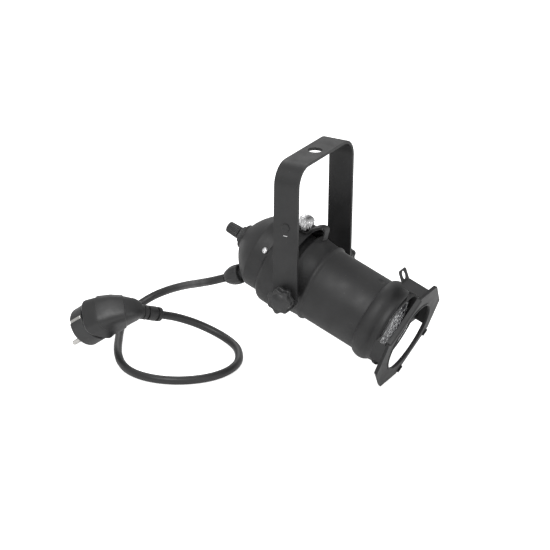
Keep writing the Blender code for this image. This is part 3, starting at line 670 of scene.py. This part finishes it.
def add_cord(materials, plug_pieces):
    points = smooth_route(CORD_ROUTE, 3.0)
    curve = bpy.data.curves.new("mains_lead", "CURVE")
    curve.dimensions = "3D"
    curve.bevel_depth = CORD_RADIUS * MM
    curve.bevel_resolution = 6
    curve.use_fill_caps = True
    spline = curve.splines.new("POLY")
    spline.points.add(len(points) - 1)
    for corner, point in zip(spline.points, points):
        corner.co = (*(point * MM), 1.0)
    spline.use_smooth = True
    lead = bpy.data.objects.new("mains_lead", curve)
    bpy.context.scene.collection.objects.link(lead)
    curve.materials.append(materials["black_rubber"])
    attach(lead, "barrel")
    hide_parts("mains_cord")


def add_gland(materials):
    """A tapered, faceted dome nut over a threaded body that passes through the rear cap."""
    base = -GLAND_LENGTH
    dome = [(base + 2.2, 0.0), (base + 2.2, 8.8)]
    dome += arc_points((base + 3.4, 9.9), (base + 19.4, 5.3), 1.6, 8)
    dome += [(base + 19.7, 4.9), (base + 19.7, 0.0)]
    place = facing(GLAND_TIP, GLAND_DIRECTION)
    piece("gland_dome", turned(dome, 12), materials["black_plastic"], "barrel", [], place,
          bevel=0.5, sharp=20.0)
    piece("gland_body", ring(base - 10.4, base + 2.4, 5.6, 4.1, 48), materials["black_plastic"],
          "barrel", ["cable_gland"], place)


# ---------------------------------------------------------------- yoke and pivot

def add_yoke(materials):
    """Flat bar bent over twice, its arms round-ended below the pivot."""
    half_width = BAR_WIDTH / 2
    arm = YOKE_WIDTH / 2
    centre = arm - YOKE_BEND_RADIUS
    left = []
    for angle in range(86, -1, -4):
        width, drop = polar(half_width, angle)
        left.append((-arm, -PIVOT_DROP - drop, -1.0, 0.0, width))
    for step in range(19):
        across, up = polar(1.0, 180.0 - 5.0 * step)
        left.append((-centre + across * YOKE_BEND_RADIUS, (up - 1.0) * YOKE_BEND_RADIUS,
                     across, up, half_width))
    right = [(-x, z, -out_x, out_z, width) for x, z, out_x, out_z, width in reversed(left)]
    sections = []
    for x, z, out_x, out_z, width in left + right:
        inner_x = x - out_x * BAR_THICKNESS
        inner_z = z - out_z * BAR_THICKNESS
        sections.append([(x, -width, z), (x, width, z),
                         (inner_x, width, inner_z), (inner_x, -width, inner_z)])
    holes = [
        (rod(-10.0, 10.0, HANGING_HOLE_RADIUS, 72), facing((0, 0, 0), (0, 0, 1))),
        (rod(-60.0, 60.0, PIVOT_BORE_RADIUS), facing((0, 0, -PIVOT_DROP), (1, 0, 0))),
        (rod(-6.0, 6.0, 2.8), facing((-arm, 0, RIVET_HEIGHT - PIVOT_DROP), (1, 0, 0))),
    ]
    piece("yoke_bar", lofted(sections), materials["black_paint"], "yoke", ["yoke"],
          Matrix.Identity(4), holes, bevel=0.45)


def add_rivet(materials):
    inside = -YOKE_WIDTH / 2 + BAR_THICKNESS
    outside = -YOKE_WIDTH / 2
    head = ((inside + 1.4, 0.0), (inside + 1.4, 3.4), (inside + 0.3, 4.0), (inside + 0.3, 2.5),
            (outside - 0.3, 2.5), (outside - 0.3, 4.1), (outside - 0.9, 3.8), (outside - 1.1, 2.6),
            (outside - 0.85, 1.2), (outside - 0.8, 0.0))
    piece("yoke_rivet_headed", turned(head, 64), materials["black_paint"], "yoke", ["yoke_rivet"],
          facing((0, 0, RIVET_HEIGHT - PIVOT_DROP), (1, 0, 0)), bevel=0.15)
    # A small bright steel strip standing proud of the arm below the rivet.
    mark = block((-2.0, -0.35, 0.0), (2.0, 0.35, 0.12))
    turn = columns((0, -1, 0), (0, 0, 1), (-1, 0, 0),
                   Vector((outside, 0.0, RIVET_HEIGHT - 8.0 - PIVOT_DROP)) * MM)
    piece("yoke_bright_mark", mark, materials["bright_steel"], "yoke", [], turn, bevel=0.05)


def add_star_knobs(materials):
    """Two stacked seven-lobed layers with a dished skirt, a groove and a domed centre."""
    outline = lobed(7, 11.8, 1.0, 20, 0.8)
    levels = ((1.8, 0.60), (2.2, 0.80), (2.8, 0.95), (3.4, 0.99), (6.0, 1.0), (6.4, 0.97),
              (6.8, 0.885), (7.7, 0.885), (8.2, 0.97), (8.6, 1.0), (11.0, 0.99), (11.8, 0.96),
              (12.3, 0.90), (12.5, 0.80))
    dome = [(12.2, 0.0), (12.2, 8.4)] + arc_points((12.5, 8.2), (15.2, 0.0), 0.7, 10)
    for side, sign in (("left", -1.0), ("right", 1.0)):
        place = facing((sign * YOKE_WIDTH / 2, 0, -PIVOT_DROP), (sign, 0, 0))
        knob = piece(f"star_knob_{side}_moulded", scaled_stack(outline, levels),
                     materials["black_plastic"], side + "_knob", ["star_knob_" + side], place,
                     bevel=0.3, sharp=28.0)
        centre = piece(f"star_knob_{side}_dome", turned(dome, 64), materials["black_plastic"],
                       side + "_knob", [], place, bevel=0)
        centre.parent = knob
        centre.matrix_parent_inverse = knob.matrix_world.inverted()
        piece(f"arm_washer_{side}_turned", ring(0.3, 1.5, 8.5, PIVOT_BORE_RADIUS, 64),
              materials["bright_steel"], "yoke", ["arm_washer_" + side], place, bevel=0.2)
        piece(f"pivot_bush_{side}_turned", ring(39.2, 51.7, 6.5, PIVOT_BORE_RADIUS, 64),
              materials["black_paint"], "barrel", ["pivot_bush_" + side],
              facing((0, 0, -PIVOT_DROP), (sign, 0, 0)), bevel=0.3)


# ---------------------------------------------------------------- barrel shells

def dent(shape, station, angle, reach, depth):
    """Presses a round flat-bottomed dimple into a turned shell's outer skin."""
    middle = Vector((*polar(TUBE_RADIUS, angle), station)) * MM
    for corner in shape.verts:
        distance = (corner.co - middle).length / MM
        if distance < reach:
            share = min(1.0, (reach - distance) / 1.1)
            inwards = Vector((corner.co.x, corner.co.y, 0.0)).normalized()
            corner.co -= inwards * depth * MM * share * share * (3 - 2 * share)


def add_tube(materials):
    outer = [(85.0, TUBE_RADIUS), (70.0, TUBE_RADIUS)]
    outer += [(69.0 - 0.75 * step, TUBE_RADIUS) for step in range(16)]
    outer += [(40.0, TUBE_RADIUS), (12.8, TUBE_RADIUS)]
    outer += [(12.2, 36.8), (11.5, 37.9), (10.4, 38.35), (9.2, 38.4), (7.8, 38.0), (6.2, 37.5),
              (0.5, 37.9), (-4.7, 38.4), (-8.6, 39.2), (-9.6, 39.5), (-10.3, 39.5), (-10.7, 39.1)]
    inner = [(-10.7, 34.4), (-30.0, 34.4), (-30.0, 33.4), (-9.7, 33.4), (-9.7, 38.2), (6.4, 36.4),
             (12.2, 35.4), (85.0, 35.4)]
    shape = turned(outer + inner, 288)
    for angle in (0.0, 90.0, 180.0, 270.0):
        dent(shape, 63.5, angle, 3.3, 0.55)
    holes = [(rod(-60.0, 60.0, PIVOT_BORE_RADIUS), facing((0, 0, -PIVOT_DROP), (1, 0, 0)))]
    piece("barrel_tube_shell", shape, materials["black_paint"], "barrel", ["barrel_tube"],
          cuts=holes, bevel=0.2, sharp=40.0)


def add_front_ring(materials):
    outer = [(70.2, 36.8), (70.2, 37.7)] + arc_points((70.6, 38.3), (81.5, 39.9), 1.2, 12)
    outer += [(83.5, 38.9), (85.2, 37.8), (86.2, 37.3), (88.5, 37.1), (91.4, 36.9), (92.0, 37.3),
              (92.4, 38.0), (93.0, 38.3), (93.6, 38.1), (93.9, 37.4)]
    inner = [(93.9, 36.3), (92.9, 36.0), (85.8, 36.0), (81.0, 38.9), (77.0, 39.3), (72.8, 36.8)]
    piece("front_ring_spun", turned(outer + inner, 160), materials["black_paint"], "barrel",
          ["front_ring"], bevel=0.15, sharp=40.0)


def screw_holes(low, high, radius):
    return [(rod(low, high, radius, 32), radial(angle, CAP_SCREW_STATION))
            for angle in CAP_SCREW_ANGLES]


def add_rear_drum(materials):
    neck = CAP_RADIUS - WALL - 0.4
    outer = [(-16.4, 43.7), (-16.8, DRUM_RADIUS), (-31.0, 43.65)]
    outer += arc_points((-31.5, 43.6), (-38.6, 39.6), -1.1, 8)
    outer += [(-38.9, 38.8), (-38.9, neck), (-48.0, neck)]
    inner = [(-48.0, neck - WALL), (-37.9, neck - WALL), (-37.5, 39.4), (-34.8, 41.6),
             (-31.2, 42.6), (-16.4, 43.0)]
    holes = screw_holes(20.0, 37.5, 1.8)
    holes.append((rod(39.0, 50.0, THUMB_HOLE_RADIUS), radial(LOOP_ANGLE, THUMB_STATION)))
    piece("rear_drum_spun", turned(outer + inner, 160), materials["black_paint"], "barrel",
          ["rear_drum"], cuts=holes, bevel=0.2, sharp=40.0)


def add_rear_cap(materials):
    """A spun dome with a bored boss at its middle."""
    outer = [(-39.3, CAP_RADIUS), (-46.0, CAP_RADIUS), (-53.0, CAP_RADIUS)]
    outer += arc_points((-53.9, 37.9), (-77.0, 12.4), -2.4, 20)
    outer += [(-77.6, 12.2), (BOSS_FACE + 0.9, 12.2), (BOSS_FACE, 11.4), (BOSS_FACE, 3.1)]
    inner = [(-76.8, 3.1), (-75.6, 11.8)]
    inner += arc_points((-75.6, 12.6), (-54.4, 36.4), 2.4, 12)
    inner += [(-53.0, CAP_RADIUS - WALL), (-39.3, CAP_RADIUS - WALL)]
    holes = screw_holes(30.0, 45.0, 1.8)
    holes.append((rod(-32.0, -10.0, 6.2), facing(GLAND_TIP, GLAND_DIRECTION)))
    piece("rear_cap_spun", turned(outer + inner, 160), materials["black_paint"], "barrel",
          ["rear_cap"], cuts=holes, bevel=0.25, sharp=34.0)


def add_cap_screws(materials):
    """Pan heads with a cross recess."""
    head = [(33.5, 0.0), (33.5, 1.3), (38.4, 1.3), (38.4, 2.8)]
    head += arc_points((38.8, 2.9), (40.1, 0.0), 0.5, 8)
    for number, angle in enumerate(CAP_SCREW_ANGLES, start=1):
        place = radial(angle, CAP_SCREW_STATION)
        turn = place @ Matrix.Rotation(math.radians(20.0), 4, "Z")
        cross = [(block((-2.1, -0.7, 38.7), (2.1, 0.7, 42.0)), turn),
                 (block((-0.7, -2.1, 38.7), (0.7, 2.1, 42.0)), turn)]
        piece(f"cap_screw_{number}_headed", turned(head, 48), materials["bright_steel"],
              "barrel", [f"cap_screw_{number}"], place, cross, bevel=0.08)


# ---------------------------------------------------------------- thumbscrew, safety loop

def add_thumbscrew(materials):
    place = radial(LOOP_ANGLE, THUMB_STATION)
    shank = ((35.2, 0.0), (35.2, 1.8), (35.8, 2.4), (46.3, 2.4), (46.3, 4.6), (50.3, 4.6),
             (50.3, 0.0))
    piece("thumbscrew_shank_turned", turned(shank, 48), materials["bright_steel"], "thumbscrew",
          ["thumbscrew_shank"], place)
    levels = ((50.5, 0.80), (50.8, 0.93), (51.3, 1.0), (56.8, 1.0), (57.6, 0.95), (58.2, 0.84),
              (58.8, 0.62), (59.1, 0.35), (59.2, 0.10))
    piece("thumbscrew_cap_ribbed", scaled_stack(lobed(14, 6.95, 0.34, 10, 0.6), levels),
          materials["bright_steel"], "thumbscrew", ["thumbscrew_cap"], place, bevel=0.12)


def leaning(shape):
    """The strap's front foot turned about the barrel axis, its rear foot left square."""
    lean_start = -19.0
    lean_length = 13.0
    for corner in shape.verts:
        station = corner.co.y / MM + THUMB_STATION
        share = min(max((station - lean_start) / lean_length, 0.0), 1.0)
        corner.co = Matrix.Rotation(-math.radians(LOOP_LEAN * share), 4, "Y") @ corner.co
    return shape


def add_safety_loop(materials):
    middle = ((-30.0, 45.3), (-19.0, 45.3), (-17.8, 46.6), (-16.2, 49.0), (-14.0, 51.2),
              (-11.2, 52.3), (-8.6, 51.8), (-6.8, 49.6), (-6.0, 46.0), (-5.6, 42.6), (-5.4, 39.4))
    path = [(station - THUMB_STATION, radius) for station, radius in middle]
    place = radial(LOOP_ANGLE, THUMB_STATION)
    piece("safety_loop_strap", leaning(bent_strip(path, 5.0, SHEET, 0.9)),
          materials["black_paint"], "barrel", ["safety_loop"], place,
          [(rod(40.0, 50.0, THUMB_HOLE_RADIUS), place)], bevel=0.2, sharp=40.0)


# ---------------------------------------------------------------- colour-frame holder

def cut_square(half_p, half_q, corner):
    reach = corner * math.sqrt(2.0)
    quarter = ((half_p, reach - half_p), (reach - half_q, half_q))
    outline = []
    for sign_p, sign_q, turn_back in ((1, 1, False), (-1, 1, True), (-1, -1, False), (1, -1, True)):
        corners = [(sign_p * p, sign_q * q) for p, q in quarter]
        outline += reversed(corners) if turn_back else corners
    return outline


def add_holder(materials):
    """One folded blank: flange ring, four bent legs, front plate, channel and two clips."""
    paint = materials["black_paint"]
    plate = prism(cut_square(HOLDER_HALF_P, HOLDER_HALF_Q, HOLDER_CORNER), 105.6, 106.6)
    holder = piece("filter_holder_plate", plate, paint, "barrel", ["filter_holder"], DIAGONAL,
                   [(rod(100.0, 112.0, 36.5, 128), DIAGONAL)], bevel=0.2)
    parts = [piece("holder_flange", ring(94.4, 95.4, 38.4, 35.4, 128), paint, "barrel", [],
                   bevel=0.2)]
    outside = HOLDER_CORNER - 0.1 - SHEET / 2
    leg_half_width = 9.5
    leg_front = [(outside, 106.1), (outside - 3.0, 106.1)]
    for angle in (90, 180, 270, 0):
        turn = BARREL @ Matrix.Rotation(math.radians(angle - 90.0), 4, "Z")
        if angle == 90:
            path = [(outside, 84.5)] + leg_front
            tab = bent_strip([(37.4, 94.9), (outside - 0.2, 94.9)], 8.9, 0.8)
            parts.append(piece("holder_tab_top", tab, paint, "barrel", [], turn, bevel=0.2))
        else:
            path = [(37.4, 94.9), (outside, 94.9)] + leg_front
        parts.append(piece(f"holder_leg_{angle}", bent_strip(path, leg_half_width, SHEET, 1.4),
                           paint, "barrel", [], turn, bevel=0.2))
    wall = HOLDER_HALF_Q - SHEET / 2
    channel = bent_strip([(wall - 4.0, 106.1), (wall, 106.1), (wall, 109.9), (39.6, 109.9)],
                         25.0, SHEET, 1.0)
    parts.append(piece("holder_channel", channel, paint, "barrel", [], DIAGONAL, bevel=0.2))
    for number, middle in enumerate((-21.5, 21.5), start=1):
        clip = bent_strip([(-wall + 4.0, 106.1), (-wall, 106.1), (-wall, 109.9), (-40.6, 109.9)],
                          3.5, SHEET, 1.0)
        shift = Matrix.Translation((middle * MM, 0.0, 0.0))
        parts.append(piece(f"holder_clip_{number}", clip, paint, "barrel", [],
                           DIAGONAL @ shift, bevel=0.2))
    for part in parts:
        part.parent = holder
        part.matrix_parent_inverse = holder.matrix_world.inverted()


def add_eyelet(materials):
    width = 7.2
    height = 11.0
    corner = 1.6
    outline = [(width, -1.0), (width, height - corner), (width - corner, height),
               (corner - width, height), (-width, height - corner), (-width, -1.0)]
    direction = Vector((0.0, -0.65, -0.76)).normalized()
    upwards = Vector((0.0, 0.76, -0.65)).normalized()
    place = BARREL @ columns(upwards.cross(direction), upwards, direction,
                             Vector((4.4, 48.4, 83.4)) * MM)
    hole = [(x * 3.0, y * 3.9 + 5.3) for x, y in regular(48, 1.0)]
    piece("safety_eyelet_plate", prism(outline, 0.0, SHEET), materials["black_paint"], "barrel",
          ["safety_eyelet"], place, [(prism(hole, -2.0, 3.0), place)], bevel=0.2)


def add_colour_frame(materials):
    """Two pressed sheets, the front one with a rolled lip round its opening."""
    outline = cut_square(FRAME_HALF_P, FRAME_HALF_Q, HOLDER_CORNER)
    opening = [(rod(100.0, 115.0, OPENING_RADIUS, 160), DIAGONAL)]
    rear = piece("colour_frame_rear", prism(outline, 106.9, 107.8), materials["black_paint"],
                 "colour_frame", ["filter_frame"], DIAGONAL, opening, bevel=0.2)
    opening = [(rod(100.0, 115.0, OPENING_RADIUS + 0.6, 160), DIAGONAL)]
    front = piece("colour_frame_front", prism(outline, 108.1, 109.0), materials["black_paint"],
                  "colour_frame", [], DIAGONAL, opening, bevel=0.2)
    lip = [(106.95, OPENING_RADIUS), (106.95, OPENING_RADIUS + 0.9), (108.4, OPENING_RADIUS + 0.9),
           (109.2, OPENING_RADIUS + 1.9), (109.75, OPENING_RADIUS + 1.5),
           (109.75, OPENING_RADIUS + 0.4), (109.3, OPENING_RADIUS)]
    rolled = piece("colour_frame_lip", turned(lip, 160), materials["black_paint"], "colour_frame",
                   [], DIAGONAL, bevel=0.2)
    for part in (front, rolled):
        part.parent = rear
        part.matrix_parent_inverse = rear.matrix_world.inverted()


# ---------------------------------------------------------------- focus parts, inside

def add_focus(materials):
    rear = -98.5
    levels = ((-84.9, 0.90), (-85.5, 1.0), (rear + 1.4, 0.91), (rear + 0.5, 0.84), (rear, 0.70))
    piece("focus_knob_ribbed", scaled_stack(lobed(14, 5.75, 0.35, 10, 0.55), levels),
          materials["black_plastic"], "focus_slider", ["focus_knob"], bevel=0.12)
    nut = scaled_stack(regular(6, 8.3), ((BOSS_FACE - 4.3, 0.90), (BOSS_FACE - 3.7, 1.0),
                                         (BOSS_FACE - 0.9, 1.0), (BOSS_FACE - 0.3, 0.94)))
    piece("focus_nut_hex", nut, materials["black_plastic"], "barrel", ["focus_nut"],
          cuts=[(rod(-90.0, -75.0, 2.9, 32), BARREL)], bevel=0.25)


def add_lens(materials):
    """A pressed lens, flat behind and crowned in front."""
    radius = 31.4
    crown = 3.2
    steps = 23
    front = LAMP_RIM + 1.5
    lens = [(LAMP_RIM + 0.3, 0.0), (LAMP_RIM + 0.3, 31.6), (front, 31.9)]
    for step in range(steps + 1):
        share = 1 - step / steps
        lens.append((front + crown * (1 - share ** 2), radius * share))
    piece("lamp_lens_pressed", turned(lens, 128), materials["lens_glass"], "focus_slider",
          ["lamp_lens"], bevel=0.2, sharp=40.0)


def finish_inner_nodes(materials):
    """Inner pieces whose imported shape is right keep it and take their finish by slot."""
    for part in frame["record"]["subparts"]:
        node = frame["nodes"][part["node"]]
        if node.hide_render:
            continue
        node.data.materials.clear()
        node.data.materials.append(materials[part["material_slot"]])


free_material_names()
MATERIALS = make_materials()
add_camera()
add_studio()
add_floor()
add_cord(MATERIALS, add_plug(MATERIALS))
add_gland(MATERIALS)
add_yoke(MATERIALS)
add_rivet(MATERIALS)
add_star_knobs(MATERIALS)
add_tube(MATERIALS)
add_front_ring(MATERIALS)
add_rear_drum(MATERIALS)
add_rear_cap(MATERIALS)
add_cap_screws(MATERIALS)
add_thumbscrew(MATERIALS)
add_safety_loop(MATERIALS)
add_holder(MATERIALS)
add_eyelet(MATERIALS)
add_colour_frame(MATERIALS)
add_focus(MATERIALS)
add_lens(MATERIALS)
finish_inner_nodes(MATERIALS)
